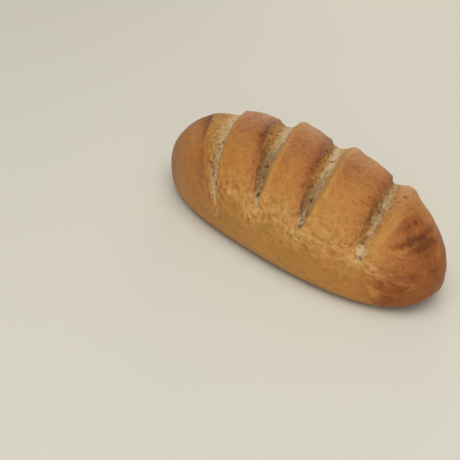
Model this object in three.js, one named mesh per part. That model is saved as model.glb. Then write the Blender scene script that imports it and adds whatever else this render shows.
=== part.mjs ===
import * as THREE from 'three';
import { mergeVertices } from 'three/addons/utils/BufferGeometryUtils.js';

// An oval half-white loaf on a flat base, with four slanting slashes opened across its top.
// Millimetres, length along X, height along Z. One piece of baked dough, solid inside.

// Whole loaf
const LENGTH = 280;
const WIDTH = 121;
const HEIGHT = 80.4;
const BELLY = 20.6; // height of the widest level above the base
const END_LIFT = 5.5; // how much higher it is at the right tip
const END_LIFT_POWER = 4.17; // how near the tip it rises
const NOSE = 14; // height of the blunt nose over the widest level at the right tip
const FOOT_DEPTH = 23; // depth of the lower half before the base cuts it flat
const BEND = -5.7; // sideways sweep of both ends

// Cross-section powers: 2 is an ellipse, more is squarer
const TOP_POWER = 2.14;
const FOOT_POWER = 4.5;

// How width, height and foot die away towards the two ends
const WIDTH_TAPER = { peak: -0.099, left: 2.34, right: 2.315, leftPower: 1.97, rightPower: 1.96 };
const HEIGHT_TAPER = { peak: -0.08, left: 2.48, right: 4.04, leftPower: 1.79, rightPower: 0.8 };
const NOSE_TAPER = { peak: -0.08, left: 2.48, right: 8.7, leftPower: 1.79, rightPower: 2 };
const FOOT_TAPER = { peak: 0, left: 4.6, right: 5, leftPower: 2, rightPower: 3 };

// Slashes: the line gives x in mm as a cubic in the angle round the loaf, 0 at the crest and
// minus on the near side; near and far are the angles where the slash closes; low is where the
// valley is deepest, -1 at its left lip and 1 at its right; left and right shape the two walls;
// rise lifts the crust past the right lip
const SLASHES = [
  { line: [-87.8, -31.8, 10, 5.1], near: -1.45, far: 0.95, width: 33.1, taper: 0.24, flare: -0.36,
    depth: 4.3, shoulder: 0.7, rise: 0, low: 0.5, left: 1.2, right: 2.4 },
  { line: [-25.3, -33.3, -5.2, 0.5], near: -1.18, far: 1.35, width: 24.2, taper: 0.25, flare: -0.14,
    depth: 5.9, shoulder: 1.7, rise: 2.6, low: 0.2, left: 1.5, right: 1.8 },
  { line: [31, -28.3, -10.4, 0.9], near: -1.15, far: 1.45, width: 17.7, taper: -0.27, flare: 0.87,
    depth: 5.4, shoulder: 2.5, rise: 1.2, low: 0.05, left: 1.8, right: 1.6 },
  { line: [91.8, -17.5, -13, -1.3], near: -1.13, far: 1.4, width: 24.8, taper: -0.04, flare: -0.05,
    depth: 4.5, shoulder: 1.4, rise: 2.7, low: -0.42, left: 2.4, right: 1.2 },
];
const LENS_POWER = 2.4; // how blunt the two ends of a slash are
const OPENING_POWER = 0.65; // how soon a slash opens from its ends
const DEPTH_POWER = 0.6; // how soon it deepens from its ends
const LEFT_LIP = { share: 0.22, power: 0.5 }; // the rounded part of the left wall
const RIGHT_LIP = { share: 0.35, power: 0.5 };
const SHOULDER_REACH = 11; // how far the crust rounds down before a left lip
const SHOULDER_GROWTH = 0.5; // how much more it rounds down on the far side
const RIM_OFFSET = 4; // the crust rises this far past a right lip, on the far side
const RIM_REACH = 6;
const FAR_ANGLE = 0.8;
const FLARE_ANGLE = 0.7;
const LINE_LIMIT = 1.5;

// Swelling of the crust between one slash and the next, from the left end to the right
const SWELLS = [1.34, -0.69, -0.41, -1.08, 1.11];
const SWELL_POWER = 0.7;
const SWELL_TURNS = 0.9; // the swelling follows the cosine of this many times the angle
const BEYOND_END = 150;

// Gentle unevenness of the crust
const WAVES = [
  { height: 0.7, pitch: 19, phase: 1.3, turns: 2.1, turnPhase: 0.4 },
  { height: 0.4, pitch: 11, phase: -0.7, turns: 3.3, turnPhase: 2.67 },
];
const RELIEF_FADE = [1.55, 2.2]; // relief dies out between these angles, under the belly
const LARGEST_CUT = 0.8; // share of the distance from the axis that relief may take away

// Mesh
const AROUND = 56;
const ALONG = 100;
const TABLE_STEPS = 2000;
const RING_EASE = 0.22; // puts more of the ring on the top than on the base
const LEAN_FADE = [1.2, 3.1]; // rows stand straight again between these angles
const TINY = 1e-6;
const WELD = 1e-3; // points closer than this are one point

// How close rows stand: everywhere, near the ends, at the very tips and over the slashes
const ROWS = {
  plain: 0.22, ends: 0.35, endReach: 10, tips: 5, tipReach: 1.2, slashes: 0.55, slashReach: 15,
};

const CRUST_COLOUR = 0xa8713f;
const CRUST_ROUGHNESS = 0.8;

function smooth(a, b, value) {
  return THREE.MathUtils.smoothstep(value, a, b);
}

function taper(shape, share) {
  const left = share < shape.peak;
  const reach = left ? 1 + shape.peak : 1 - shape.peak;
  const away = Math.min(Math.abs(share - shape.peak) / reach, 1);
  const fallen = 1 - away ** (left ? shape.left : shape.right);
  return fallen ** (1 / (left ? shape.leftPower : shape.rightPower));
}

function sectionRadius(angle) {
  const power = Math.cos(angle) > 0 ? TOP_POWER : FOOT_POWER;
  return (Math.abs(Math.sin(angle)) ** power + Math.abs(Math.cos(angle)) ** power) ** (-1 / power);
}

function slashCentre(slash, angle) {
  const q = THREE.MathUtils.clamp(angle, -LINE_LIMIT, LINE_LIMIT);
  const [a, b, c, d] = slash.line;
  return a + q * (b + q * (c + q * d));
}

// 1 in the middle of a slash's run, 0 where it closes
function slashLens(slash, angle) {
  const middle = (slash.near + slash.far) / 2;
  const reach = (slash.far - slash.near) / 2;
  return Math.max(1 - Math.abs((angle - middle) / reach) ** LENS_POWER, 0);
}

function slashHalfWidth(slash, angle) {
  const opened = (1 + slash.taper * angle) * (1 + slash.flare * smooth(0, FLARE_ANGLE, angle));
  return (slash.width / 2) * slashLens(slash, angle) ** OPENING_POWER * opened + TINY;
}

// 0 at a lip, 1 at the bottom of the valley
function wall(share, power, lip) {
  return (1 - (1 - share) ** power) * smooth(0, lip.share, share) ** lip.power;
}

function slashDepth(slash, x, angle) {
  const lens = slashLens(slash, angle);
  const half = slashHalfWidth(slash, angle);
  const across = (x - slashCentre(slash, angle)) / half;
  const fromLeft = THREE.MathUtils.clamp((across + 1) / (slash.low + 1), 0, 1);
  const fromRight = THREE.MathUtils.clamp((1 - across) / (1 - slash.low), 0, 1);
  const walls = across < slash.low
    ? wall(fromLeft, slash.left, LEFT_LIP)
    : wall(fromRight, slash.right, RIGHT_LIP);
  const valley = Math.abs(across) < 1 ? slash.depth * lens ** DEPTH_POWER * walls : 0;

  const pastLip = x - slashCentre(slash, angle) + half;
  const rounding = pastLip < 0
    ? Math.exp(-((pastLip / SHOULDER_REACH) ** 2))
    : 1 - smooth(0, 1, pastLip / (2 * half));
  const onFarSide = smooth(0, FAR_ANGLE, angle);
  const shoulder = slash.shoulder * (1 + SHOULDER_GROWTH * onFarSide) * lens * rounding;
  const rim = Math.exp(-(((pastLip - 2 * half - RIM_OFFSET) / RIM_REACH) ** 2));
  return valley + shoulder - slash.rise * onFarSide * lens * rim;
}

function swelling(x, angle) {
  const edges = [-BEYOND_END, ...SLASHES.map((slash) => slashCentre(slash, angle)), BEYOND_END];
  const piece = edges.filter((edge) => edge <= x).length - 1;
  const share = (x - edges[piece]) / (edges[piece + 1] - edges[piece]);
  const across = Math.sin(Math.PI * share) ** SWELL_POWER;
  return SWELLS[piece] * across * Math.max(Math.cos(angle * SWELL_TURNS), 0);
}

function unevenness(x, angle) {
  const fade = Math.sqrt(Math.max(1 - (x / (LENGTH / 2)) ** 2, 0));
  let sum = 0;
  for (const wave of WAVES) {
    const along = Math.sin(x / wave.pitch + wave.phase);
    sum += wave.height * along * Math.sin(wave.turns * angle + wave.turnPhase);
  }
  return fade * sum;
}

function relief(x, angle) {
  let height = swelling(x, angle) + unevenness(x, angle);
  for (const slash of SLASHES) height -= slashDepth(slash, x, angle);
  return height;
}

function surfacePoint(x, angle) {
  const share = THREE.MathUtils.clamp(x / (LENGTH / 2), -1, 1);
  const radius = sectionRadius(angle);
  const belly = BELLY + END_LIFT * Math.max(share, 0) ** END_LIFT_POWER;
  const slope = (HEIGHT - belly - NOSE) * taper(HEIGHT_TAPER, share);
  const rise = slope + NOSE * taper(NOSE_TAPER, share);
  const fall = (FOOT_DEPTH + belly - BELLY) * taper(FOOT_TAPER, share);
  let y = (WIDTH / 2) * taper(WIDTH_TAPER, share) * radius * Math.sin(angle);
  let z = (Math.cos(angle) > 0 ? rise : fall) * radius * Math.cos(angle);

  const reach = Math.hypot(y, z) + TINY;
  const shift = relief(x, angle) * (1 - smooth(RELIEF_FADE[0], RELIEF_FADE[1], Math.abs(angle)));
  const scale = 1 + Math.max(shift, -LARGEST_CUT * reach) / reach;
  y = y * scale + BEND * share ** 2;
  z = Math.max(z * scale + belly, 0);
  return new THREE.Vector3(x, y, z);
}

// Rows of the mesh stand close together over the slashes and at the two ends
function rowDensity(x) {
  const fromEnd = LENGTH / 2 - Math.abs(x);
  let density = ROWS.plain + ROWS.ends * Math.exp(-((fromEnd / ROWS.endReach) ** 2));
  density += ROWS.tips * Math.exp(-((fromEnd / ROWS.tipReach) ** 2));
  for (const slash of SLASHES) {
    density += ROWS.slashes * Math.exp(-(((x - slash.line[0]) / ROWS.slashReach) ** 4));
  }
  return density;
}

function rowPositions() {
  const step = LENGTH / TABLE_STEPS;
  const sums = [0];
  for (let i = 0; i < TABLE_STEPS; i++) {
    sums.push(sums[i] + rowDensity(-LENGTH / 2 + (i + 0.5) * step));
  }
  const rows = [];
  let at = 0;
  for (let row = 0; row <= ALONG; row++) {
    const target = (sums[TABLE_STEPS] * row) / ALONG;
    while (at < TABLE_STEPS - 1 && sums[at + 1] < target) at++;
    const share = (target - sums[at]) / (sums[at + 1] - sums[at]);
    rows.push(Math.min(-LENGTH / 2 + (at + share) * step, LENGTH / 2));
  }
  return rows;
}

// Each row leans with the slashes nearest to it and stands straight at the ends and base
function rowLean(x, power) {
  const stops = [[-LENGTH / 2, 0], ...SLASHES.map((s) => [s.line[0], s.line[power]]), [LENGTH / 2, 0]];
  const next = THREE.MathUtils.clamp(stops.filter(([stop]) => stop <= x).length, 1, stops.length - 1);
  const [a, leanA] = stops[next - 1];
  const [b, leanB] = stops[next];
  return THREE.MathUtils.mapLinear(x, a, b, leanA, leanB);
}

function leaningX(x, angle) {
  const q = THREE.MathUtils.clamp(angle, -LINE_LIMIT, LINE_LIMIT);
  const fade = 1 - smooth(LEAN_FADE[0], LEAN_FADE[1], Math.abs(angle));
  return x + fade * (q * rowLean(x, 1) + q ** 2 * rowLean(x, 2) + q ** 3 * rowLean(x, 3));
}

function loafGeometry() {
  const ball = new THREE.SphereGeometry(1, AROUND, ALONG);
  const uv = ball.attributes.uv;
  const position = ball.attributes.position;
  const rows = rowPositions();
  for (let i = 0; i < position.count; i++) {
    const turn = uv.getX(i) * 2 - 1;
    const angle = Math.PI * ((1 - RING_EASE) * turn + RING_EASE * turn ** 3);
    const row = rows[Math.round((1 - uv.getY(i)) * ALONG)];
    const point = surfacePoint(leaningX(row, angle), angle);
    position.setXYZ(i, point.x, point.y, point.z);
  }
  ball.deleteAttribute('uv');
  ball.deleteAttribute('normal');
  const loaf = mergeVertices(ball, WELD);
  loaf.computeVertexNormals();

  // The middle of the base is the origin
  loaf.computeBoundingBox();
  const middle = loaf.boundingBox.getCenter(new THREE.Vector3());
  loaf.translate(-middle.x, -middle.y, -loaf.boundingBox.min.z);
  return loaf;
}

const crust = new THREE.MeshStandardMaterial({
  color: CRUST_COLOUR,
  roughness: CRUST_ROUGHNESS,
  metalness: 0,
});
const loaf = new THREE.Mesh(loafGeometry(), crust);
loaf.name = 'loaf';

const part = new THREE.Group();
part.name = 'half_white_loaf';
part.add(loaf);

export default part;
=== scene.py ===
import math

import bpy
import numpy as np
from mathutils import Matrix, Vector


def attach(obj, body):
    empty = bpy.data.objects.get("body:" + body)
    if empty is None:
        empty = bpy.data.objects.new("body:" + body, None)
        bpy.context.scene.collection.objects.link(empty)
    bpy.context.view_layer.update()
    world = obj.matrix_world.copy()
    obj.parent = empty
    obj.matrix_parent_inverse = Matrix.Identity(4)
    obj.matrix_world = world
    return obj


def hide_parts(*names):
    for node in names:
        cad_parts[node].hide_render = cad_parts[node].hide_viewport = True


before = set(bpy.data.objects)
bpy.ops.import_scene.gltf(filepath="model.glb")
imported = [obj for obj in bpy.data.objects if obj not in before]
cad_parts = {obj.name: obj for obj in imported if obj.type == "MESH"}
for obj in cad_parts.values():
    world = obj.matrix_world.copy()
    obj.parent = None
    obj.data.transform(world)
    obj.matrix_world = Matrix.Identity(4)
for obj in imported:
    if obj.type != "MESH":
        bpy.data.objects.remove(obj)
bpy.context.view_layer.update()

bl_info = {
    "name": "Half-white loaf",
    "version": (1, 0, 0),
    "blender": (4, 5, 0),
    "location": "View3D > Sidebar > Loaf",
    "description": "Makes a baked oval loaf with slanting slashes, its crust and its studio",
    "category": "Add Mesh",
}

MM = 0.001

# The whole loaf, as in its solid. Lengths are in millimetres, and x runs from its left end to its right end.
# An angle is in radians round the loaf, 0 at the crest and minus on the near side
LENGTH = 280.0
WIDTH = 121.0
HEIGHT = 80.4
BELLY = 20.6
END_LIFT = 5.5
END_LIFT_POWER = 4.17
NOSE = 14.0
FOOT_DEPTH = 23.0
BEND = -5.7
TOP_POWER = 2.14
FOOT_POWER = 4.5

# How a size dies away: where its peak is, then powers m left and right, and powers n left and right
WIDTH_TAPER = (-0.099, 2.34, 2.315, 1.97, 1.96)
HEIGHT_TAPER = (-0.08, 2.48, 4.04, 1.79, 0.80)
NOSE_TAPER = (-0.08, 2.48, 8.7, 1.79, 2.0)
FOOT_TAPER = (0.0, 4.6, 5.0, 2.0, 3.0)

# Swell of each piece of crust between two slashes, or between a slash and an end
SWELLS = (1.34, -0.69, -0.41, -1.08, 1.11)
SWELL_POWER = 0.7
SWELL_ROUND = 0.9
BEYOND_END = 150.0

# Long waves over the whole loaf: height, mm per radian along, shift, waves round, shift
WAVES = ((0.7, 19, 1.3, 2.1, 0.4), (0.4, 11, -0.7, 3.3, 2.67))

# What the slashes have in common: powers of their run, opening and depth, roundness of the lips, and reach of
# the shoulder before a left lip and of the rim past a right one
LINE_LIMIT = 1.5
LENS_POWER = 2.4
OPENING_POWER = 0.65
NARROWEST = 1e-6
DEPTH_POWER = 0.6
FLARE_ANGLE = 0.7
LEFT_LIP = 0.22
RIGHT_LIP = 0.35
LIP_POWER = 0.5
SHOULDER_REACH = 11.0
SHOULDER_GROWTH = 0.5
RIM_OFFSET = 4.0
RIM_REACH = 6.0
FAR_ANGLE = 0.8

# The relief fades out between these angles, and cuts in by at most this share of the way to the axis
RELIEF_FADE = (1.55, 2.2)
DEEPEST_CUT = 0.8
TINY = 1e-9

# Length round the loaf for each radian
ARC = 60.0

# The mesh's rows: even density, with bells of a height and reach more at the ends and over the slashes.
# Its ring: shares of an even turn and of its cube. Its rows stop leaning with the slashes between two angles
ROW_SAMPLES = 4001
ROW_DENSITY = 0.30
END_ROWS = ((0.35, 8), (4.0, 1.2))
SLASH_ROWS = (0.45, 15)
RING_EVEN = 0.74
RING_CUBIC = 0.26
LEAN_FADE = (1.2, 3.1)

# The four slashes, each with its shape and then its colours
#   line      x as a cubic in the angle
#   near, far angles where it closes
#   width     opening, with its taper for each radian and its flare past the crest
#   depth     depth of the valley, and low, where its floor is, -1 at the left lip and 1 at the right
#   left      power of the left wall, and right, of the right wall
#   shoulder  how far the crust rounds down before the left lip, and rise, how far it rises past the right one
#   band      reach and strength of the browning before the left lip
#   pale      reach and strength of the paler crust past the right lip
#    wall_shade strength, angle and run of the painted shade darkening the left wall
#   wall      how golden the left wall is
#   grey      bare crumb: its place across on the far side and at the near end, run between, width, strength
#   light     how light the bare crumb is, and how much more towards the crest
#   tip       how bare the crumb is at the near end
#   fan       thin crust past the near end: shift, reach along, reach round, strength
SLASHES = (
    dict(line=(-87.8, -31.8, 10.0, 5.1), near=-1.45, far=0.95, width=33.1, taper=0.24, flare=-0.36,
         depth=4.3, low=0.5, left=1.2, right=2.4, shoulder=0.7, rise=0.0,
         band=(9.0, 0.62), pale=(4.0, 0.4), wall_shade=(0.22, -0.85, 0.25), wall=0.62,
         grey=(0.48, -0.15, 0.75, 0.40, 0.8), light=(0.2, 0.5), tip=0.35, fan=(1.0, 4.0, 8.0, 0.5)),
    dict(line=(-25.3, -33.3, -5.2, 0.5), near=-1.18, far=1.35, width=24.2, taper=0.25, flare=-0.14,
         depth=5.9, low=0.2, left=1.5, right=1.8, shoulder=1.7, rise=2.6,
         band=(6.5, 0.60), pale=(4.0, 0.4), wall_shade=(0.38, -0.66, 0.45), wall=0.42,
         grey=(0.25, -0.33, 1.2, 0.40, 1.0), light=(-0.16, 0.6), tip=0.8, fan=(-1.0, 8.0, 9.0, 0.75)),
    dict(line=(31.0, -28.3, -10.4, 0.9), near=-1.15, far=1.45, width=17.7, taper=-0.27, flare=0.87,
         depth=5.4, low=0.05, left=1.8, right=1.6, shoulder=2.5, rise=1.2,
         band=(7.5, 0.60), pale=(4.0, 0.4), wall_shade=(0.38, -0.85, 0.40), wall=0.35,
         grey=(-0.08, -0.18, 1.0, 0.36, 1.0), light=(-0.08, 0.6), tip=0.8, fan=(-2.0, 11.0, 8.0, 0.6)),
    dict(line=(91.8, -17.5, -13.0, -1.3), near=-1.13, far=1.40, width=24.8, taper=-0.04, flare=-0.05,
         depth=4.5, low=-0.42, left=2.4, right=1.2, shoulder=1.4, rise=2.7,
         band=(6.5, 0.40), pale=(3.0, 0.1), wall_shade=(0.25, -0.40, 0.30), wall=0.30,
         grey=(-0.43, -0.24, 1.0, 0.20, 0.9), light=(0.15, -0.1), tip=1.0, fan=(3.0, 17.0, 7.0, 0.55)),
)
LAST = SLASHES[3]

# Powers of a slash's lens that the browning before it and the paler crust past it follow
BAND_POWER = 0.3
PALE_POWER = 0.5

# Inside a slash, in shares of half its opening: widths of the torn edges, where the painted shade on the left
# wall ends, and where the wall turns golden
TORN_LEFT = 0.14
TORN_RIGHT = 0.4
WALL_SHADE_EDGE = 0.8
WALL_STEP = (-0.9, 0.7)

# Angles past a slash's near end where the bare crumb of its tip ends, how much lighter that crumb is,
# and the angles where the crumb gets lighter towards the crest
TIP_FADE = (0.06, 0.30)
TIP_LIGHT = 0.45
CREST_LIGHT = (-0.6, 0.1)

# Holes that show in the torn crumb, and last of all a pit low in the crust:
# x, angle, length along the slash, width, depth
HOLES = (
    (-70.5, -0.57, 2.2, 2.2, 1.6), (-61.2, -0.65, 3.6, 1.4, 1.0), (-56.6, -0.70, 2.2, 1.4, 1.0),
    (-57.1, -0.83, 2.4, 1.6, 1.1), (-57.6, -0.94, 2.8, 1.2, 0.9), (-52.2, -0.89, 2.6, 1.4, 0.9),
    (-49.3, -1.05, 3.6, 2.0, 1.6), (-41.2, -1.24, 2.0, 1.4, 1.0),
    (-8.0, -0.61, 3.2, 2.3, 1.8), (0.8, -1.01, 3.8, 2.0, 2.0), (-8.4, -0.52, 1.8, 1.3, 0.9),
    (0.7, -0.91, 3.6, 1.4, 1.2),
    (29.3, 0.02, 5.2, 1.8, 1.5), (36.7, -0.26, 2.3, 1.8, 1.2), (44.7, -0.74, 3.4, 2.2, 1.9),
    (48.5, -1.10, 3.2, 2.2, 1.6), (47.5, -1.02, 2.2, 1.4, 1.2),
    (90.4, 0.36, 4.6, 4.0, 1.3), (97.7, 0.20, 4.0, 2.2, 1.0), (91.2, 0.15, 5.0, 3.4, 0.7),
    (94.3, -0.89, 4.0, 2.6, 1.4), (100.1, -0.82, 3.4, 1.6, 0.9), (97.6, -1.11, 2.4, 4.6, 1.3),
    (49.4, -1.62, 2.4, 2.0, 0.8),
)
# A hole is this much wider than its size, counts this share of its depth, and has a ring at r, with its reach
HOLE_EDGE = 0.2
HOLE_SHARE = 0.5
HOLE_RING = (1.4, 0.3)

# Small pores at random in the crumb: strength, cell length along and round, share of the cells that have one,
# smallest and largest radius in cells, seed
PORES = ((0.8, 4.6, 5.8, 0.36, 0.14, 0.36, 31), (0.45, 2.6, 3.4, 0.38, 0.14, 0.40, 32))
# Right of this x the pores are shallower by a share, and by one more where the slope is baked over
SHALLOW_FROM = 60
SHALLOWER = 0.5
SHALLOWER_OVER = 0.4

# Layers of noise: strength, size of a cell in each of the two directions, seed
NOISE = {
    "wander of a lip": (0.5, 12, 12, 11),
    "fine wander of a lip": (0.15, 4, 5, 12),
    "ridges": (1.0, 1.5, 10, 21),
    "broad ridges": (0.6, 3.4, 16, 22),
    "bend of a hole along": (0.6, 2.2, 2.2, 33),
    "bend of a hole round": (0.6, 2.2, 2.2, 34),
    "skin": (0.20, 6, 6, 41),
    "fine skin": (0.16, 2.6, 2.6, 42),
    "arcs": (1.0, 1.5, 0.4, 51),
    "wander of the arcs": (2.2, 7, 7, 52),
    "warp": (2.5, 6, 6, 53),
    "squiggles": (2.4, 3.2, 3.2, 54),
    "cross folds": (1.0, 1.3, 5, 55),
    "slanting folds": (1.1, 3.2, 16, 56),
    "ragged crumb": (0.14, 3, 5, 61),
    "fine ragged crumb": (0.10, 1.6, 2, 62),
    "creases": (1.0, 0.125, 9, 71),
    "fine creases": (0.7, 0.05, 6, 72),
    "wander of the creases": (0.06, 5, 5, 73),
}
# Values along each side of the random tables of the noise and of the pores
LATTICE = 128
CELLS = 64

# Browning of the crust, 0 for the palest and about 1.5 for the darkest: its level on the crest and where that
# fades down the sides, the left tip's own level, and the angles between which crust becomes low down
CREST_LEVEL = 0.84
CREST_FADE = (-0.15, 1.25)
CREST_ROUNDING = 0.03
TIP_LEVEL = 0.30
TIP_START = (-108, -136)
LOW_DOWN = (0.7, 1.2)

# More browning towards the ends: strength, x where it starts, x where it is full, and if it is only low down
RAMPS = (
    (0.30, -85, -115, False), (0.20, -8, -45, True), (0.36, 98, 122, False), (0.34, 82, 130, True),
)
# Browner spots, and paler ones with a minus, some of them painted shade and painted sheen as marked:
# strength, x and reach, angle and reach, power round the loaf, and lean in mm for each radian
SPOTS = (
    # The first spot, low on the near side at x -72, is partly browning and partly painted shade with warm
    # bounce light
    (0.20, -72, 22, -1.15, 0.28, 2, 0), (0.15, 121, 8, -0.05, 0.6, 4, 0), (0.14, 121, 4.8, 0.0, 0.60, 4, 3),
    # The paler spots on the crest at x 76 and 60 are partly painted sheen
    (0.15, -33, 8, -0.25, 0.18, 2, 0), (0.20, 51, 12, -0.02, 0.22, 2, 0), (-0.20, 76, 9, 0.0, 0.2, 2, 0),
    (-0.15, 60, 12, 0.15, 0.2, 2, 0),
)
# Browner crust low on the near side of the left end, partly its own browning and partly painted shade:
# strength, angles and x of its two steps
LEFT_SIDE_BROWN_AND_SHADE = 0.14
LEFT_SIDE_ROUND = (-0.5, -0.9)
LEFT_SIDE_ALONG = (-82, -100)

# The least level at the right end, and what is added after it
CAP_LEVEL = 0.88
CAP_START = (98, 124)
LATER_RAMPS = ((0.12, 50, 90, True),)
LATER_SPOTS = (
    # The paler spot at x -110, high on the near side of the left end, is painted sheen
    (-0.30, 109, 9, -0.9, 0.16, 2, 0), (-0.20, 64, 13, -0.4, 0.35, 2, 0), (-0.15, -110, 12, -0.4, 0.35, 2, 0),
    (0.15, 87, 7, -1.02, 0.18, 2, 0), (0.20, 133, 8, -0.25, 0.5, 2, 0), (-0.10, 116, 5, -0.38, 0.2, 2, 0),
)
# Past the last slash's right lip the crust is browner, and on its right slope it is paler
LAST_LIP = 0.16
LAST_LIP_ALONG = (-2.5, 1.5, 7, 13)
LAST_LIP_ROUND = (-0.40, 0.6)
LAST_SLOPE = 0.10
LAST_SLOPE_ACROSS = (-0.1, 0.3, 0.75, 1.05)

# The last slash's right slope is baked over: where across it starts, least share, more past the crest
OVER_START = (-0.35, 0.4)
OVER_LEAST = 0.45
OVER_MORE = 0.45
OVER_CREST = (-0.3, 0.3)

# Thin crust past the slashes' near ends: squash of its arcs, middle of a fan in its own reach, turn of the
# arcs from one slash to the next, slant of its cross folds
ARC_SQUASH = 1.2
FAN_MIDDLE = 0.5
ARC_TURN = 8.0
CROSS_SLANT = 0.5

# Creases fan out into the dark end patch from a point x, z by the last slash's near end: the distances, x
# and angles between which they run
CREASES_FROM = (90, 44)
CREASES_OUT = (14, 26, 40, 54)
CREASES_ALONG = (98, 108)
CREASES_ROUND = (0.5, 0.9)
# How much darker the crust is painted down the creases' grooves, and paler on their ridges: painted shade and
# light
CREASE_SHADE = 0.30

# Thin crust low on both sides: its angle and reach, x between which it lies, its share of a fan's thinness
SHELF_ANGLE = (1.12, 0.22)
SHELF_ALONG = (-70, -30, 85, 115)
SHELF_THIN = 0.3
# Squiggles over all crust, fading at the tips: strength, how much more on thin crust
SQUIGGLE = 0.38
SQUIGGLE_THIN = 0.34
SQUIGGLE_FADE = (106, 130)
# Slanting folds between the first two slashes: x and reach, angle and reach
FOLDS = (-30, 20, -1.27, 0.18)
# Less torn than this is whole crust
TORN_LEAST = 0.05

# Warm low crust between the first slashes: x and reach, angle and reach
HONEY = (-66, 56, 1.02, 0.42)

# Where the torn mask turns into crumb, heights in mm of the fine relief, and how much rougher the skin gets
# towards the right end, and between which x
CRUMB_STEP = (0.1, 0.7)
RIDGE_HEIGHT = 0.26
HOLE_RING_HEIGHT = 0.12
PIT_DEPTH = 1.4
WRINKLE_HEIGHT = 0.46
CREASE_DEPTH = 0.40
ROUGHER = 0.9
ROUGHER_START = (95, 120)

# The masks that the colours follow, one attribute of the mesh for each
MASKS = ("honey", "bake_and_painted_light", "torn", "tone", "grey", "light", "stretch", "wrinkle", "pit", "rim")

# Grain of the colours: cells for each metre, detail, roughness. Streaks run along a slash
PATCHES = (60.0, 3.0, 0.55)
MOTTLE = (210.0, 3.0, 0.6)
SPECKLE = (560.0, 2.0, 0.6)
STREAKS = (1.0, 2.0, 0.55)
STREAK_SCALE = (620.0, 120.0, 1.0)
CRUMB_GRAIN = (340.0, 3.0, 0.6)
FINE_GRAIN = (950.0, 3.0, 0.6)
# Levels of baking at which the crust is fully orange, tan, brown and dark, and between which it counts as the
# dark right end. Speckle above the first number is a pale speck: painted glints of the crust's tiny blisters.
# The foot's colour ends between two heights
ORANGE_AT = 0.33
TAN_AT = 0.66
BROWN_AT = 1.0
DARK_AT = 1.5
DARK_END = (0.8, 1.2)
GLINT_SPECKS = (0.0, 0.25)
FOOT_HEIGHT = (0.002, 0.014)
# Tones at which a slash's wall has its wall's and its rim's colour, steps of the bare and of the torn mask
WALL_AT = 0.45
RIM_AT = 1.0
BARE_STEP = (0.1, 0.9)
TORN_STEP = (0.0, 0.9)
FINE_BUMP = {"Strength": 0.8, "Distance": 0.0007}
CRUST_FINISH = {"Specular IOR Level": 0.2, "Sheen Weight": 0.09, "Sheen Roughness": 0.4}
FLOOR_ROUGHNESS = 0.7

# The studio, in metres. A light's place is towards the camera, to its right, and up
FLOOR_REACH = 6.0
SENSOR_WIDTH = 36
CLIP_START = 0.02
CLIP_END = 30
LIGHTS = (
    dict(name="key", place=(0.6, 0.1, 2.1), size=2.4, power=33, colour=(1.0, 1.0, 1.0)),
    dict(name="front", place=(1.6, 0.0, 0.5), size=1.6, power=8, colour=(1.0, 1.0, 1.0)),
    dict(name="behind", place=(-1.9, 0.4, 0.35), size=0.9, power=8, colour=(1.0, 0.88, 0.74)),
)
LIGHT_TARGET = (0, 0, 0.03)
SKY_COLOUR = (1.0, 0.98, 0.95, 1)
SKY_STRENGTH = 0.34
# The camera was fitted before the loaf's box was centred, which moved the loaf this far along y
CENTRING = 0.00023


def smooth(low, high, value):
    """0 below low, 1 above high, and 3r^2 - 2r^3 between."""
    share = np.clip((value - low) / (high - low), 0, 1)
    return share * share * (3 - 2 * share)


def window(value, begin, full, fade, end):
    """0 up to begin, 1 from full to fade, and 0 past end, with a smooth step on each side."""
    return smooth(begin, full, value) * (1 - smooth(fade, end, value))


def bell(value, middle, reach, power=2):
    """1 in the middle and dying away from it: exp(-((value - middle) / reach)^power)."""
    return np.exp(-(((value - middle) / reach) ** power))


def taper(shape, share):
    """How far a size has died away at a share of the half length: (1 - r^m)^(1/n) from the peak outwards."""
    peak, left, right, left_power, right_power = shape
    is_left = share < peak
    away = np.where(is_left, (peak - share) / (1 + peak), (share - peak) / (1 - peak))
    away = np.clip(away, 0, 1) ** np.where(is_left, left, right)
    return np.maximum(1 - away, 0) ** (1 / np.where(is_left, left_power, right_power))


def section_radius(angle):
    """Superellipse in polar form: (|sin|^n + |cos|^n)^(-1/n), squarer below the belly."""
    power = np.where(np.cos(angle) > 0, TOP_POWER, FOOT_POWER)
    return (np.abs(np.sin(angle)) ** power + np.abs(np.cos(angle)) ** power) ** (-1 / power)


def slash_centre(slash, angle):
    """x of the slash's middle line: a cubic in the angle."""
    q = np.clip(angle, -LINE_LIMIT, LINE_LIMIT)
    a, b, c, d = slash["line"]
    return a + q * (b + q * (c + q * d))


def slash_lens(slash, angle):
    """1 in the middle of a slash's run and 0 where it closes: 1 - |s|^2.4."""
    middle = (slash["near"] + slash["far"]) / 2
    reach = (slash["far"] - slash["near"]) / 2
    return np.clip(1 - np.abs((angle - middle) / reach) ** LENS_POWER, 0, 1)


def slash_half_width(slash, angle):
    """Half the opening, in mm: lens^0.65, widened towards one end and past the crest."""
    opened = (1 + slash["taper"] * angle) * (1 + slash["flare"] * smooth(0, FLARE_ANGLE, angle))
    return slash["width"] / 2 * slash_lens(slash, angle) ** OPENING_POWER * opened + NARROWEST


def slash_across(slash, x, angle, wander=0.0):
    """-1 at the left lip and 1 at the right lip: the way from the middle line over half the opening."""
    return (x + wander - slash_centre(slash, angle)) / slash_half_width(slash, angle)


def slash_valley(slash, across, angle):
    """Share of the depth: each wall is 1 - (1 - r)^m from its lip to the low line, with a rounded lip."""
    low = slash["low"]
    from_left = np.clip((across + 1) / (low + 1), 0, 1)
    from_right = np.clip((1 - across) / (1 - low), 0, 1)
    left = (1 - (1 - from_left) ** slash["left"]) * smooth(0, LEFT_LIP, from_left) ** LIP_POWER
    right = (1 - (1 - from_right) ** slash["right"]) * smooth(0, RIGHT_LIP, from_right) ** LIP_POWER
    return np.where(across < low, left, right) * slash_lens(slash, angle) ** DEPTH_POWER


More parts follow.
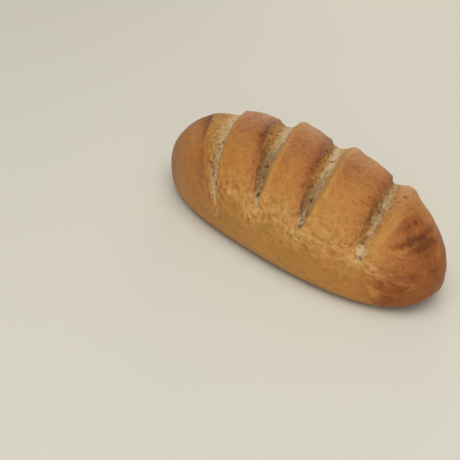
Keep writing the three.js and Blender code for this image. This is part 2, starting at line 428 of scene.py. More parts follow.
def slash_shoulder(slash, x, angle):
    """The crust rounds down before a left lip: a bell of its reach, fading across the slash."""
    half = slash_half_width(slash, angle)
    past = x - slash_centre(slash, angle) + half
    rounded = np.where(past < 0, bell(past, 0, SHOULDER_REACH), 1 - smooth(0, 1, past / (2 * half)))
    grown = 1 + SHOULDER_GROWTH * smooth(0, FAR_ANGLE, angle)
    return slash["shoulder"] * grown * slash_lens(slash, angle) * rounded


def slash_rim(slash, x, angle):
    """The crust rises past a right lip on the far side: a bell a little beyond the lip."""
    beyond = x - slash_centre(slash, angle) - slash_half_width(slash, angle)
    raised = slash["rise"] * smooth(0, FAR_ANGLE, angle) * slash_lens(slash, angle)
    return raised * bell(beyond, RIM_OFFSET, RIM_REACH)


def swelling(x, angle):
    """Half a sine wave of each piece's swell, from one slash to the next."""
    edges = [np.full_like(x, -BEYOND_END)]
    edges += [slash_centre(slash, angle) for slash in SLASHES]
    edges += [np.full_like(x, BEYOND_END)]
    total = np.zeros_like(x)
    for swell, low, high in zip(SWELLS, edges[:-1], edges[1:]):
        share = np.clip((x - low) / (high - low), 0, 1)
        total += swell * np.sin(np.pi * share) ** SWELL_POWER * ((x >= low) & (x < high))
    return total * np.maximum(np.cos(angle * SWELL_ROUND), 0)


def unevenness(x, angle):
    """Two long crossed sine waves, dying out at the loaf's ends."""
    fade = np.sqrt(np.maximum(1 - (x / (LENGTH / 2)) ** 2, 0))
    return fade * sum(height * np.sin(x / along + shift) * np.sin(waves * angle + turn)
                      for height, along, shift, waves, turn in WAVES)


def lattice_noise(p, q, seed):
    """Smooth noise from -1 to 1: random values at whole numbers of p and q, joined by S-curves."""
    table = np.random.default_rng(seed).uniform(-1, 1, (LATTICE, LATTICE))
    i, j = np.floor(p).astype(int), np.floor(q).astype(int)
    u, v = smooth(0, 1, p - i), smooth(0, 1, q - j)
    i0, i1, j0, j1 = i % LATTICE, (i + 1) % LATTICE, j % LATTICE, (j + 1) % LATTICE
    low = table[i0, j0] * (1 - u) + table[i1, j0] * u
    high = table[i0, j1] * (1 - u) + table[i1, j1] * u
    return low * (1 - v) + high * v


def layer(name, p, q):
    """One layer of the noise table: its strength times the noise of p and q over the size of its cells."""
    strength, p_size, q_size, seed = NOISE[name]
    return strength * lattice_noise(p / p_size, q / q_size, seed)


def cell_pits(p, q, share, low, high, seed):
    """Round pits of radius low to high, one at random in a share of the cells: 1 - (distance / radius)^2."""
    table = np.random.default_rng(seed).random((4, CELLS, CELLS))
    i, j = np.floor(p).astype(int), np.floor(q).astype(int)
    deepest = np.zeros_like(p)
    for di in (-1, 0, 1):
        for dj in (-1, 0, 1):
            a, b = (i + di) % CELLS, (j + dj) % CELLS
            dp = p - (i + di + table[0, a, b])
            dq = q - (j + dj + table[1, a, b])
            radius = low + (high - low) * table[2, a, b] ** 2
            pit = (1 - (dp * dp + dq * dq) / radius ** 2) * (table[3, a, b] < share)
            deepest = np.maximum(deepest, pit)
    return deepest


def row_positions(count):
    """x of the rows: evenly spaced under a density that is high over the slashes and at the ends."""
    x = np.linspace(-LENGTH / 2, LENGTH / 2, ROW_SAMPLES)
    density = np.full_like(x, ROW_DENSITY)
    for height, reach in END_ROWS:
        density += height * bell(LENGTH / 2 - np.abs(x), 0, reach)
    height, reach = SLASH_ROWS
    for slash in SLASHES:
        density += height * bell(x, slash["line"][0], reach, 4)
    total = np.concatenate([[0], np.cumsum((density[1:] + density[:-1]) / 2)])
    return np.interp(np.linspace(0, 1, count + 1), total / total[-1], x)


def loaf_grid(rows, ring):
    """x and angle of the grid: rows lean with the slashes, the ring is closer on top than on the base."""
    start = row_positions(rows)[:, None]
    turn = np.linspace(-1, 1, ring, endpoint=False)[None, :]
    angle = np.pi * (RING_EVEN * turn + RING_CUBIC * turn ** 3)
    q = np.clip(angle, -LINE_LIMIT, LINE_LIMIT)
    fade = 1 - smooth(*LEAN_FADE, np.abs(angle))
    stops = [-LENGTH / 2] + [slash["line"][0] for slash in SLASHES] + [LENGTH / 2]
    x = start + 0 * angle
    for power in (1, 2, 3):
        lean = np.interp(start, stops, [0] + [slash["line"][power] for slash in SLASHES] + [0])
        x = x + fade * lean * q ** power
    return np.clip(x, -LENGTH / 2, LENGTH / 2), angle + 0 * x, start + 0 * angle


def surface(x, angle, relief):
    """Each point: the section's superellipse times the tapers, out by the relief, bent, and cut flat at 0."""
    share = np.clip(x / (LENGTH / 2), -1, 1)
    radius = section_radius(angle)
    belly = BELLY + END_LIFT * np.maximum(share, 0) ** END_LIFT_POWER
    rise = (HEIGHT - belly - NOSE) * taper(HEIGHT_TAPER, share) + NOSE * taper(NOSE_TAPER, share)
    fall = (FOOT_DEPTH + belly - BELLY) * taper(FOOT_TAPER, share)
    y = WIDTH / 2 * taper(WIDTH_TAPER, share) * radius * np.sin(angle)
    z = np.where(np.cos(angle) > 0, rise, fall) * radius * np.cos(angle)
    reach = np.hypot(y, z) + TINY
    shift = relief * (1 - smooth(*RELIEF_FADE, np.abs(angle)))
    scale = 1 + np.maximum(shift, -DEEPEST_CUT * reach) / reach
    return np.stack([x, y * scale + BEND * share ** 2, np.maximum(z * scale + belly, 0)], -1)


def browning(x, angle, low_down, ramps, spots):
    """Sum of the ramps, smooth steps in x, and the spots, each a bell in x times a bell in the angle."""
    total = np.zeros_like(x)
    for strength, start, full, is_low in ramps:
        total += strength * smooth(start, full, x) * (low_down if is_low else 1)
    for strength, middle, reach, turn, spread, power, lean in spots:
        total += strength * bell(x - lean * angle, middle, reach) * bell(angle, turn, spread, power)
    return total


def baked(x, angle):
    """How brown the crust is, with a few spots of painted shade and painted sheen: a smooth step from the
    crest down each side, with a level of its own at the left tip, plus ramps and spots, then at least the
    right end's level, plus later ramps and spots."""
    level = CREST_LEVEL * (1 - smooth(*CREST_FADE, np.sqrt(angle ** 2 + CREST_ROUNDING)))
    at_tip = smooth(*TIP_START, x)
    level += at_tip * (TIP_LEVEL - level)
    low_down = smooth(*LOW_DOWN, np.abs(angle)) * (1 - at_tip)
    level += browning(x, angle, low_down, RAMPS, SPOTS)
    # Low on the near side of the left end: partly browning, partly painted shade
    level += LEFT_SIDE_BROWN_AND_SHADE * smooth(*LEFT_SIDE_ROUND, angle) * smooth(*LEFT_SIDE_ALONG, x) * (1 - at_tip)
    level = np.maximum(level, CAP_LEVEL * smooth(*CAP_START, x))
    level += browning(x, angle, low_down, LATER_RAMPS, LATER_SPOTS)
    beyond = x - slash_centre(LAST, angle) - slash_half_width(LAST, angle)
    level += LAST_LIP * window(beyond, *LAST_LIP_ALONG) * bell(angle, *LAST_LIP_ROUND, 4)
    across = slash_across(LAST, x, angle)
    level -= LAST_SLOPE * window(across, *LAST_SLOPE_ACROSS) * (slash_lens(LAST, angle) > 0)
    return level


def lip_browning(slash, x, angle):
    """Browner crust before the left lip less paler crust past the right: half a bell outwards from each."""
    lens = slash_lens(slash, angle)
    half = slash_half_width(slash, angle)
    aside = x - slash_centre(slash, angle)
    reach, strength = slash["band"]
    browner = strength * lens ** BAND_POWER * bell(np.minimum(aside + half, 0), 0, reach) * (aside < 0)
    reach, strength = slash["pale"]
    paler = strength * lens ** PALE_POWER * bell(np.maximum(aside - half, 0), 0, reach) * (aside > 0)
    return browner - paler


def slash_crumb(slash, x, angle, start, across):
    """Inside a slash: tone of the walls, a smooth step across less a bell of painted shade on the left wall;
    how bare the crumb is, a ragged bell across and the near tip; and how light it is, more towards the crest
    and the near tip, less under the painted shade."""
    around = angle * ARC
    # Painted shade on the left wall: a bell round an angle, fading across the slash, darkening wall and bare
    # crumb
    strength, at, run = slash["wall_shade"]
    wall_shade = strength * bell(angle, at, run) * (1 - smooth(0, WALL_SHADE_EDGE, across))
    tone = slash["wall"] + (1 - slash["wall"]) * smooth(*WALL_STEP, across) - wall_shade
    on_far_side, at_near_end, run, width, strength = slash["grey"]
    middle = at_near_end + (on_far_side - at_near_end) * smooth(slash["near"], slash["near"] + run, angle)
    ragged = layer("ragged crumb", start, around) + layer("fine ragged crumb", x, around)
    tip = 1 - smooth(slash["near"] + TIP_FADE[0], slash["near"] + TIP_FADE[1], angle)
    grey = np.maximum(strength * bell(across + ragged, middle, width), slash["tip"] * tip)
    base, above = slash["light"]
    light = base + TIP_LIGHT * tip + above * smooth(*CREST_LIGHT, angle) - wall_shade
    return tone, grey, light


def slash_fan(slash, number, x, angle):
    """Thin crust past a slash's near end, a bell of its own reach, and its wrinkles: noise that is fine in
    the distance from the end and slow in the direction, which makes arcs, and folds across them."""
    around = angle * ARC
    along = around - slash["near"] * ARC
    aside = x - slash_centre(slash, slash["near"])
    shift, wide, tall, strength = slash["fan"]
    fan = strength * bell(aside, shift, wide) * bell(along / tall, -FAN_MIDDLE, 1)
    away = np.hypot(aside, along * ARC_SQUASH) + layer("wander of the arcs", x, around)
    arcs = layer("arcs", away, np.arctan2(along, aside) + ARC_TURN * number)
    arcs += layer("cross folds", around - CROSS_SLANT * x, x + CROSS_SLANT * around)
    return fan, arcs


def end_creases(x, angle):
    """Creases into the dark end patch: noise, fine in the direction from a point and slow in the distance."""
    around = angle * ARC
    bare = surface(x, angle, np.zeros_like(x))
    out_x = bare[..., 0] - CREASES_FROM[0]
    out_z = bare[..., 2] - CREASES_FROM[1]
    out = np.hypot(out_x, out_z)
    ray = np.arctan2(out_z, out_x) + layer("wander of the creases", x, around)
    reached = window(out, *CREASES_OUT) * smooth(*CREASES_ALONG, x) * (1 - smooth(*CREASES_ROUND, angle))
    return reached * (layer("creases", ray, out) + layer("fine creases", ray, out))


def thin_crust(x, angle, torn, fans):
    """How thin the crust is, with a shelf low on both sides, and its wrinkles: squiggles where warped noise
    crosses 0, and folds that slant between the first two slashes."""
    around = angle * ARC
    is_crust = torn < TORN_LEAST
    shelf = bell(np.abs(angle), *SHELF_ANGLE) * window(x, *SHELF_ALONG)
    warp = layer("warp", x, around)
    squiggles = 1 - np.abs(layer("squiggles", x + warp, around - warp))
    squiggles = squiggles * (1 - smooth(*SQUIGGLE_FADE, np.abs(x))) * is_crust
    wrinkle = (SQUIGGLE + SQUIGGLE_THIN * np.maximum(shelf, fans)) * squiggles
    x0, x_reach, angle0, angle_reach = FOLDS
    folded = bell(x, x0, x_reach) * bell(angle, angle0, angle_reach) * is_crust
    wrinkle += folded * layer("slanting folds", x + around + warp, x - around)
    return np.maximum(fans, SHELF_THIN * shelf), wrinkle


def crumb_pits(x, angle, start, crumb, over):
    """Depth of the small pores and of the holes, exp(-r^3) from each hole's middle, and a ring round it."""
    around = angle * ARC
    pits = np.zeros_like(x)
    for strength, long, wide, share, low, high, seed in PORES:
        pits = np.maximum(pits, strength * cell_pits(start / long, around / wide, share, low, high, seed))
    pits = pits * crumb * (1 - (SHALLOWER + SHALLOWER_OVER * over) * (x > SHALLOW_FROM))
    rings = np.zeros_like(x)
    bent_x = x + layer("bend of a hole along", x, around)
    bent_around = around + layer("bend of a hole round", x, around)
    for x0, angle0, long, wide, deep in HOLES:
        away_x = (bent_x - x0) / (wide / 2 + HOLE_EDGE)
        away_around = (bent_around - angle0 * ARC) / (long / 2 + HOLE_EDGE)
        away = np.hypot(away_x, away_around)
        pits = np.maximum(pits, HOLE_SHARE * deep * bell(away, 0, 1, 3))
        rings = np.maximum(rings, bell(away, *HOLE_RING))
    return pits, rings


def crust_and_crumb(x, angle, start, amount):
    """Relief in mm and the masks that the colours follow. The relief is the swells and waves of the solid
    less its slashes, plus an amount of fine relief: ridges, pits, skin, wrinkles and creases."""
    around = angle * ARC
    relief = swelling(x, angle) + unevenness(x, angle)
    mask = {name: np.zeros_like(x) for name in MASKS}
    # Browning of the crust, with a little painted shade and light mixed in
    mask["bake_and_painted_light"] += baked(x, angle)
    wander = layer("wander of a lip", start, around) + layer("fine wander of a lip", x, around)
    for number, slash in enumerate(SLASHES):
        across = slash_across(slash, x, angle, wander)
        inside = (np.abs(across) < 1) & (slash_lens(slash, angle) > 0)
        valley = slash_valley(slash, across, angle) * inside
        relief -= slash["depth"] * valley + slash_shoulder(slash, x, angle) - slash_rim(slash, x, angle)
        torn = inside * smooth(0, TORN_LEFT, 1 + across) * smooth(0, TORN_RIGHT, 1 - across)
        mask["torn"] = np.maximum(mask["torn"], torn)
        mask["bake_and_painted_light"] += lip_browning(slash, x, angle)
        for name, values in zip(("tone", "grey", "light"), slash_crumb(slash, x, angle, start, across)):
            mask[name] = np.where(inside, values, mask[name])
        fan, arcs = slash_fan(slash, number, x, angle)
        mask["stretch"] = np.maximum(mask["stretch"], fan * (1 - inside))
        mask["wrinkle"] += fan * (1 - inside) * arcs
    creases = end_creases(x, angle)
    # Painted shade down the creases' grooves and painted light on their ridges
    mask["bake_and_painted_light"] += CREASE_SHADE * creases
    mask["stretch"], wrinkle = thin_crust(x, angle, mask["torn"], mask["stretch"])
    mask["wrinkle"] += wrinkle

    # The last slash's right slope is baked over, most of all past the crest
    over = smooth(*OVER_START, slash_across(LAST, x, angle))
    mask["torn"] *= 1 - (OVER_LEAST + OVER_MORE * smooth(*OVER_CREST, angle)) * over
    crumb = smooth(*CRUMB_STEP, mask["torn"])
    pits, mask["rim"] = crumb_pits(x, angle, start, crumb, over)
    # The pits' depth also sets how dark the painted shade inside them is
    mask["pit"] = np.clip(pits, 0, 1)
    x0, x_reach, angle0, angle_reach = HONEY
    mask["honey"] = bell(x, x0, x_reach) * bell(np.abs(angle), angle0, angle_reach)

    ridges = layer("ridges", start, around) + layer("broad ridges", start, around)
    skin = layer("skin", x, around) + layer("fine skin", x, around)
    fine = RIDGE_HEIGHT * crumb * ridges
    fine += (1 - crumb) * skin * (1 + ROUGHER * smooth(*ROUGHER_START, x))
    fine += HOLE_RING_HEIGHT * mask["rim"] - PIT_DEPTH * pits
    fine += WRINKLE_HEIGHT * mask["wrinkle"] - CREASE_DEPTH * creases
    return relief + amount * fine, mask


def grid_faces(rows, ring):
    """Quads between neighbouring rows, and a fan of triangles to the single point at each end."""
    i = np.arange(rows - 2)[:, None] * ring + 1
    j = np.arange(ring)[None, :]
    k = (j + 1) % ring
    quads = np.stack([i + j, i + k, i + ring + k, i + ring + j], -1).reshape(-1, 4)
    last = 1 + (rows - 1) * ring
    first_fan = np.stack([np.zeros(ring, int), 1 + k[0], 1 + j[0]], -1)
    base = last - ring
    last_fan = np.stack([np.full(ring, last), base + j[0], base + k[0]], -1)
    return quads, np.concatenate([first_fan, last_fan])


def join_ends(values):
    """One value for each end and the inner rows between them, as one flat list of vertices."""
    inner = values[1:-1].reshape(-1, *values.shape[2:])
    return np.concatenate([values[0, :1], inner, values[-1, :1]])


def make_mesh(name, points, quads, triangles, masks, flow):
    """A smooth-shaded mesh from arrays, with a number for each mask and a flow vector at every point."""
    mesh = bpy.data.meshes.new(name)
    mesh.vertices.add(len(points))
    mesh.vertices.foreach_set("co", points.astype(np.float32).ravel())
    loops = np.concatenate([quads.ravel(), triangles.ravel()]).astype(np.int32)
    mesh.loops.add(len(loops))
    mesh.loops.foreach_set("vertex_index", loops)
    sizes = np.concatenate([np.full(len(quads), 4), np.full(len(triangles), 3)])
    starts = np.concatenate([[0], np.cumsum(sizes)[:-1]]).astype(np.int32)
    mesh.polygons.add(len(sizes))
    mesh.polygons.foreach_set("loop_start", starts)
    mesh.polygons.foreach_set("use_smooth", np.ones(len(sizes), bool))
    mesh.update(calc_edges=True)
    mesh.validate()
    for key, values in masks.items():
        attribute = mesh.attributes.new(key, "FLOAT", "POINT")
        attribute.data.foreach_set("value", values.astype(np.float32))
    attribute = mesh.attributes.new("flow", "FLOAT_VECTOR", "POINT")
    attribute.data.foreach_set("vector", flow.astype(np.float32).ravel())
    return mesh


def linear(red, green, blue):
    """A colour read off a screen, 0 to 255, as the linear values that a shader takes."""
    values = np.array([red, green, blue]) / 255
    return tuple(np.where(values <= 0.04045, values / 12.92, ((values + 0.055) / 1.055) ** 2.4))


def opaque(colour):
    """A colour's three numbers with 1 for its alpha. A socket stays as it is."""
    return colour if isinstance(colour, bpy.types.NodeSocket) else (*colour, 1)


class Value:
    """A number socket of a recipe. An expression on it adds its Math nodes."""

    def __init__(self, recipe, socket):
        self.recipe = recipe
        self.socket = socket

    def __add__(self, other):
        return self.recipe.math("ADD", self, other)

    __radd__ = __add__

    def __mul__(self, other):
        return self.recipe.math("MULTIPLY", self, other)

    __rmul__ = __mul__

    def __sub__(self, other):
        return self.recipe.math("SUBTRACT", self, other)

    def __rsub__(self, other):
        return self.recipe.math("SUBTRACT", other, self)

    def __truediv__(self, other):
        return self.recipe.math("DIVIDE", self, other)

    def __rtruediv__(self, other):
        return self.recipe.math("DIVIDE", other, self)

    def clamp(self):
        """Itself, kept between 0 and 1."""
        return Value(self.recipe, self.recipe.node("ShaderNodeClamp", {}, {"Value": self}).outputs[0])

    def share(self, low, high):
        """0 below low, 1 above high and a straight line between."""
        return ((self - low) / (high - low)).clamp()

    def between(self, low, high):
        """0 below low, 1 above high and an S-curve between."""
        node = self.recipe.node("ShaderNodeMapRange", {"interpolation_type": "SMOOTHSTEP"},
                                {"Value": self, "From Min": low, "From Max": high})
        return Value(self.recipe, node.outputs[0])


class Recipe:
    """A material's node tree."""

    def __init__(self, name):
        self.material = bpy.data.materials.new(name)
        self.material.use_nodes = True
        self.tree = self.material.node_tree
        self.tree.nodes.clear()

    def node(self, kind, settings, inputs):
        """Adds a node of a type, sets it, then fills its sockets, by name or number, with values or links."""
        node = self.tree.nodes.new(kind)
        for key, value in settings.items():
            setattr(node, key, value)
        for key, value in inputs.items():
            if isinstance(value, Value):
                self.tree.links.new(value.socket, node.inputs[key])
            elif isinstance(value, bpy.types.NodeSocket):
                self.tree.links.new(value, node.inputs[key])
            else:
                node.inputs[key].default_value = value
        return node

    def math(self, operation, first, second):
        """A Math node on two values or numbers."""
        node = self.node("ShaderNodeMath", {"operation": operation}, {0: first, 1: second})
        return Value(self, node.outputs[0])

    def attribute(self, name):
        """The node that reads an attribute of the mesh."""
        return self.node("ShaderNodeAttribute", {"attribute_type": "GEOMETRY", "attribute_name": name}, {})

    def scaled(self, vector, factors):
        """A vector times a factor for each direction."""
        node = self.node("ShaderNodeVectorMath", {"operation": "MULTIPLY"}, {0: vector, 1: factors})
        return node.outputs[0]

    def brighter(self, colour, times):
        """A colour times a number."""
        node = self.node("ShaderNodeVectorMath", {"operation": "SCALE"}, {0: colour, "Scale": times})
        return node.outputs[0]

    def blend(self, share, first, second):
        """One colour at 0 and the other at 1."""
        node = self.node("ShaderNodeMix", {"data_type": "RGBA", "clamp_factor": True},
                         {0: share, 6: opaque(first), 7: opaque(second)})
        return node.outputs[2]

    def grain(self, vector, size):
        """Noise of a size, about 0."""
        scale, detail, roughness = size
        node = self.node("ShaderNodeTexNoise", {"noise_dimensions": "3D"},
                         {"Vector": vector, "Scale": scale, "Detail": detail, "Roughness": roughness})
        return Value(self, node.outputs["Fac"]) - 0.5

    def finish(self, sockets):
        """Leads a shader with these sockets out to the surface."""
        shader = self.node("ShaderNodeBsdfPrincipled", {}, sockets)
        self.node("ShaderNodeOutputMaterial", {}, {"Surface": shader.outputs[0]})
        return self.material


def crust_colour(recipe, place, mask, colours):
    """Golden, orange, tan, brown and dark in order of the browning level, with pale specks of painted glints,
    honey low down and thin crust past the slashes, brighter and darker with the grain."""
    patches = recipe.grain(place, PATCHES)
    mottle = recipe.grain(place, MOTTLE)
    speckle = recipe.grain(place, SPECKLE)
    bake_and_painted_light, stretch, wrinkle = mask["bake_and_painted_light"], mask["stretch"], mask["wrinkle"]
    dark_end = bake_and_painted_light.between(*DARK_END)
    level = bake_and_painted_light + patches * (0.6 - dark_end * 0.2) + mottle * (0.8 + dark_end * 0.35) + 0.08
    # Pale specks: painted glints of the crust's tiny blisters
    level = level - speckle.between(*GLINT_SPECKS) * 0.2 + speckle * dark_end * 1.1
    level = level - stretch * 0.15 - wrinkle * 0.34
    height = Value(recipe, recipe.node("ShaderNodeSeparateXYZ", {}, {"Vector": place}).outputs["Z"])
    golden = recipe.blend(1 - height.between(*FOOT_HEIGHT), colours.golden, colours.foot)
    crust = recipe.blend(level.share(0.0, ORANGE_AT), golden, colours.orange)
    crust = recipe.blend(mask["honey"] * 0.9, crust, colours.honey)
    crust = recipe.blend(level.share(ORANGE_AT, TAN_AT), crust, colours.tan)
    crust = recipe.blend(level.share(TAN_AT, BROWN_AT), crust, colours.brown)
    crust = recipe.blend(level.share(BROWN_AT, DARK_AT), crust, colours.dark)
    thin = stretch * (wrinkle * 0.35 + mottle * 1.5 + speckle * 1.2 + 0.45)
    crust = recipe.blend(thin.clamp(), crust, colours.stretched)
    return recipe.brighter(crust, 1 + patches * 0.35 + mottle * 0.65 + speckle * 0.3 + wrinkle * 0.10)


def crumb_colour(recipe, place, mask, colours):
    """Torn crumb: the colour of the painted shade, the wall's and the rim's in order of tone on the walls,
    and bare crumb along the floor, all in streaks along the slash."""
    flow = recipe.scaled(recipe.attribute("flow").outputs["Vector"], STREAK_SCALE)
    streaks = recipe.grain(flow, STREAKS)
    grains = recipe.grain(place, CRUMB_GRAIN)
    shade = mask["tone"] + streaks * 0.9 + grains * 1.3
    # Where the tone is low the wall takes the colour of its painted shade
    walls = recipe.blend(shade.share(0.0, WALL_AT), colours.wall_shade, colours.wall)
    walls = recipe.blend(shade.share(WALL_AT, RIM_AT), walls, colours.rim)
    lightness = mask["light"] + 0.5 + streaks * 0.8 + grains * 1.2
    bare = recipe.blend(lightness.clamp(), colours.crumb, colours.pale)
    return recipe.blend((mask["grey"] + streaks * 0.5 + grains * 0.9).share(*BARE_STEP), walls, bare)


def crust_material(colours):
    """Crust, with crumb where it is torn, paler rings round the holes and painted shade in the pores and
    holes, and a fine bump.
    """
    recipe = Recipe("baked crust")
    place = recipe.node("ShaderNodeTexCoord", {}, {}).outputs["Object"]
    mask = {name: Value(recipe, recipe.attribute(name).outputs["Fac"]) for name in MASKS}
    crust = crust_colour(recipe, place, mask, colours)
    crumb = crumb_colour(recipe, place, mask, colours)
    colour = recipe.blend(mask["torn"].share(*TORN_STEP), crust, crumb)
    colour = recipe.blend((mask["rim"] * 0.15).clamp(), colour, colours.stretched)
    # Painted shade inside the pores and holes, darkest where they are deepest
    colour = recipe.blend(mask["pit"].clamp(), colour, colours.hole_shade)
    bump = recipe.node("ShaderNodeBump", {}, {**FINE_BUMP, "Height": recipe.grain(place, FINE_GRAIN)})
    roughness = 0.55 + mask["torn"] * 0.3
    return recipe.finish({"Base Color": colour, "Roughness": roughness, "Normal": bump.outputs["Normal"],
                          **CRUST_FINISH})


def colour_setting(name, description, *screen):
    """A colour property whose default is a colour read off a screen."""
    return bpy.props.FloatVectorProperty(
        name=name, description=description, subtype="COLOR", default=linear(*screen), min=0, max=1)


class LoafSettings(bpy.types.PropertyGroup):
    length: bpy.props.FloatProperty(
        name="Length", description="From end to end of the loaf's plain body", default=LENGTH * MM,
        min=0.05, max=1, unit="LENGTH")
    width: bpy.props.FloatProperty(
        name="Width", description="Across the loaf's plain body", default=WIDTH * MM,
        min=0.02, max=0.5, unit="LENGTH")
    height: bpy.props.FloatProperty(
        name="Height", description="From the base to the crest of the loaf's plain body", default=HEIGHT * MM,
        min=0.02, max=0.5, unit="LENGTH")
    relief: bpy.props.FloatProperty(
        name="Relief", description="Share of the crust's and crumb's fine relief", default=1.0,
        min=0, max=2, subtype="FACTOR")
    rows: bpy.props.IntProperty(
        name="Rows", description="Rows of the mesh along the loaf", default=270, min=60, max=300)
    ring: bpy.props.IntProperty(
        name="Ring", description="Points of the mesh round the loaf", default=364, min=48, max=364)
    golden: colour_setting("Golden", "Lightest crust, low on the sides", 187, 134, 63)
    foot: colour_setting("Foot", "Crust at the bottom edge", 167, 128, 69)
    orange: colour_setting("Orange", "Crust half way up", 183, 123, 60)
    honey: colour_setting("Honey", "Warmer crust low down between the first slashes", 178, 114, 38)
    tan: colour_setting("Tan", "Crust towards the top", 170, 110, 53)
    brown: colour_setting("Brown", "Crust on top and left of a slash", 150, 86, 36)
    dark: colour_setting("Dark", "Darkest crust, at the right end", 106, 53, 20)
    stretched: colour_setting("Stretched", "Thin crust past the ends of a slash", 226, 186, 128)
    # Colour of the painted shade on a slash's left wall, the darkest crumb
    wall_shade: colour_setting("Dusk", "Darkest crumb", 118, 78, 42)
    wall: colour_setting("Wall", "Baked crumb on the left wall of a slash", 166, 115, 54)
    crumb: colour_setting("Crumb", "Crumb on the floor of a slash", 132, 104, 68)
    rim: colour_setting("Rim", "Baked crumb at the right rim of a slash", 192, 142, 74)
    pale: colour_setting("Pale", "Palest crumb", 202, 174, 132)
    # Colour of the painted shade inside the pores and holes of the crumb
    hole_shade: colour_setting("Pore", "Inside of the holes in the crumb", 84, 54, 30)


class StudioSettings(bpy.types.PropertyGroup):
    azimuth: bpy.props.FloatProperty(
        name="Azimuth", description="Camera's direction round the loaf", default=math.radians(48.75),
        subtype="ANGLE")
    elevation: bpy.props.FloatProperty(
        name="Elevation", description="Camera's height above the horizon", default=math.radians(34),
        subtype="ANGLE")
    distance: bpy.props.FloatProperty(
        name="Distance", description="From the camera to the loaf's middle along the view", default=0.6996,
        unit="LENGTH")
    aside: bpy.props.FloatProperty(
        name="Aside", description="How far right of the picture's middle the loaf stands", default=0.05725,
        unit="LENGTH")
    above: bpy.props.FloatProperty(
        name="Above", description="How far above the picture's middle the loaf stands", default=0.00275,
        unit="LENGTH")
    lens: bpy.props.FloatProperty(
        name="Lens", description="Focal length on a 36 mm wide sensor, in mm", default=66.5)
    floor: colour_setting("Floor", "Plain pale floor", 217, 213, 198)


def in_millimetres(size):
    """A size setting in mm, to the nearest micron, because a setting is only held in single precision."""
    return round(size / MM, 3)


class LOAF_OT_loaf(bpy.types.Operator):
    """Make the baked loaf over its solid"""
    bl_idname = "loaf.make_loaf"
    bl_label = "Loaf"

    def execute(self, context):
        made = context.scene.loaf_settings
        x, angle, start = loaf_grid(made.rows, made.ring)
        relief, masks = crust_and_crumb(x, angle, start, made.relief)
        points = surface(x, angle, relief)
        points[..., 0] *= in_millimetres(made.length) / LENGTH
        points[..., 1] *= in_millimetres(made.width) / WIDTH
        points[..., 2] *= in_millimetres(made.height) / HEIGHT
        low, high = points.reshape(-1, 3).min(0), points.reshape(-1, 3).max(0)
        points = points - np.array([(low[0] + high[0]) / 2, (low[1] + high[1]) / 2, low[2]])
        flow = np.stack([start, angle * ARC, 0 * x], -1)
        quads, triangles = grid_faces(made.rows, made.ring)
        masks = {key: join_ends(values) for key, values in masks.items()}
        mesh = make_mesh("crusty_loaf", join_ends(points) * MM, quads, triangles, masks, join_ends(flow) * MM)
        mesh.materials.append(crust_material(made))
        loaf = bpy.data.objects.new("crusty_loaf", mesh)
        context.collection.objects.link(loaf)
        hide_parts("loaf")
        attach(loaf, "root")
        return {"FINISHED"}


def make_floor(context, colour):
    """A square of plain floor at height 0."""
    reach = FLOOR_REACH
    mesh = bpy.data.meshes.new("floor")
    corners = [(-reach, -reach, 0), (reach, -reach, 0), (reach, reach, 0), (-reach, reach, 0)]
    mesh.from_pydata(corners, [], [(0, 1, 2, 3)])
    sockets = {"Base Color": opaque(colour), "Roughness": FLOOR_ROUGHNESS}
    mesh.materials.append(Recipe("plain floor").finish(sockets))
    floor = bpy.data.objects.new("floor", mesh)
    context.collection.objects.link(floor)


def make_camera(context, studio):
    """The camera looks along its azimuth and elevation, from its distance, with the loaf off the middle."""
    a, e = studio.azimuth, studio.elevation
    back = Vector((math.sin(a) * math.cos(e), -math.cos(a) * math.cos(e), math.sin(e)))
    right = Vector((math.cos(a), math.sin(a), 0))
    up = back.cross(right)
    camera = bpy.data.objects.new("camera", bpy.data.cameras.new("camera"))
    camera.data.sensor_width = SENSOR_WIDTH
    camera.data.lens = studio.lens
    camera.data.clip_start = CLIP_START
    camera.data.clip_end = CLIP_END
    camera.location = back * studio.distance - right * studio.aside - up * studio.above
    camera.location.y += CENTRING
    camera.rotation_mode = "QUATERNION"
    camera.rotation_quaternion = (-back).to_track_quat("-Z", "Y")
    context.collection.objects.link(camera)
    context.scene.camera = camera


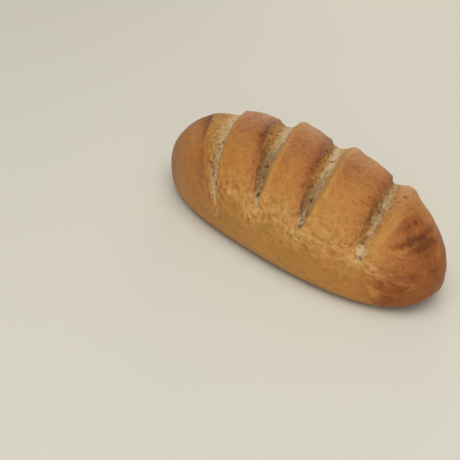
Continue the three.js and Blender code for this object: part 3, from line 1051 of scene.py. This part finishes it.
def make_light(context, azimuth, name, place, size, power, colour):
    """A round area light that looks at the loaf."""
    ahead = Vector((math.sin(azimuth), -math.cos(azimuth), 0))
    right = Vector((math.cos(azimuth), math.sin(azimuth), 0))
    light = bpy.data.lights.new(name, "AREA")
    light.shape = "DISK"
    light.size = size
    light.energy = power
    light.color = colour
    lamp = bpy.data.objects.new(name, light)
    lamp.location = ahead * place[0] + right * place[1] + Vector((0, 0, place[2]))
    lamp.rotation_mode = "QUATERNION"
    lamp.rotation_quaternion = (Vector(LIGHT_TARGET) - lamp.location).to_track_quat("-Z", "Y")
    context.collection.objects.link(lamp)


class LOAF_OT_studio(bpy.types.Operator):
    """Make the floor, the light and the camera"""
    bl_idname = "loaf.make_studio"
    bl_label = "Studio"

    def execute(self, context):
        studio = context.scene.studio_settings
        make_floor(context, studio.floor)
        make_camera(context, studio)
        for light in LIGHTS:
            make_light(context, studio.azimuth, **light)
        world = bpy.data.worlds.new("studio")
        world.use_nodes = True
        world.node_tree.nodes["Background"].inputs["Color"].default_value = SKY_COLOUR
        world.node_tree.nodes["Background"].inputs["Strength"].default_value = SKY_STRENGTH
        context.scene.world = world
        context.scene.view_settings.view_transform = "Standard"
        context.scene.view_settings.look = "None"
        return {"FINISHED"}


class LOAF_PT_panel(bpy.types.Panel):
    """Lists the loaf's pieces"""
    bl_idname = "LOAF_PT_panel"
    bl_label = "Half-white loaf"
    bl_space_type = "VIEW_3D"
    bl_region_type = "UI"
    bl_category = "Loaf"

    def draw(self, context):
        pieces = {"loaf.make_loaf": "loaf_settings", "loaf.make_studio": "studio_settings"}
        for operator, settings in pieces.items():
            group = getattr(context.scene, settings)
            for key in group.__annotations__:
                self.layout.prop(group, key)
            self.layout.operator(operator)


CLASSES = (LoafSettings, StudioSettings, LOAF_OT_loaf, LOAF_OT_studio, LOAF_PT_panel)


def register():
    """Makes the classes and their settings known."""
    for each in CLASSES:
        bpy.utils.register_class(each)
    bpy.types.Scene.loaf_settings = bpy.props.PointerProperty(type=LoafSettings)
    bpy.types.Scene.studio_settings = bpy.props.PointerProperty(type=StudioSettings)


def unregister():
    """Takes the settings and the classes back."""
    del bpy.types.Scene.studio_settings
    del bpy.types.Scene.loaf_settings
    for each in reversed(CLASSES):
        bpy.utils.unregister_class(each)


def main():
    """Makes the loaf and its studio."""
    register()
    bpy.ops.loaf.make_loaf()
    bpy.ops.loaf.make_studio()


if __name__ == "__main__":
    main()
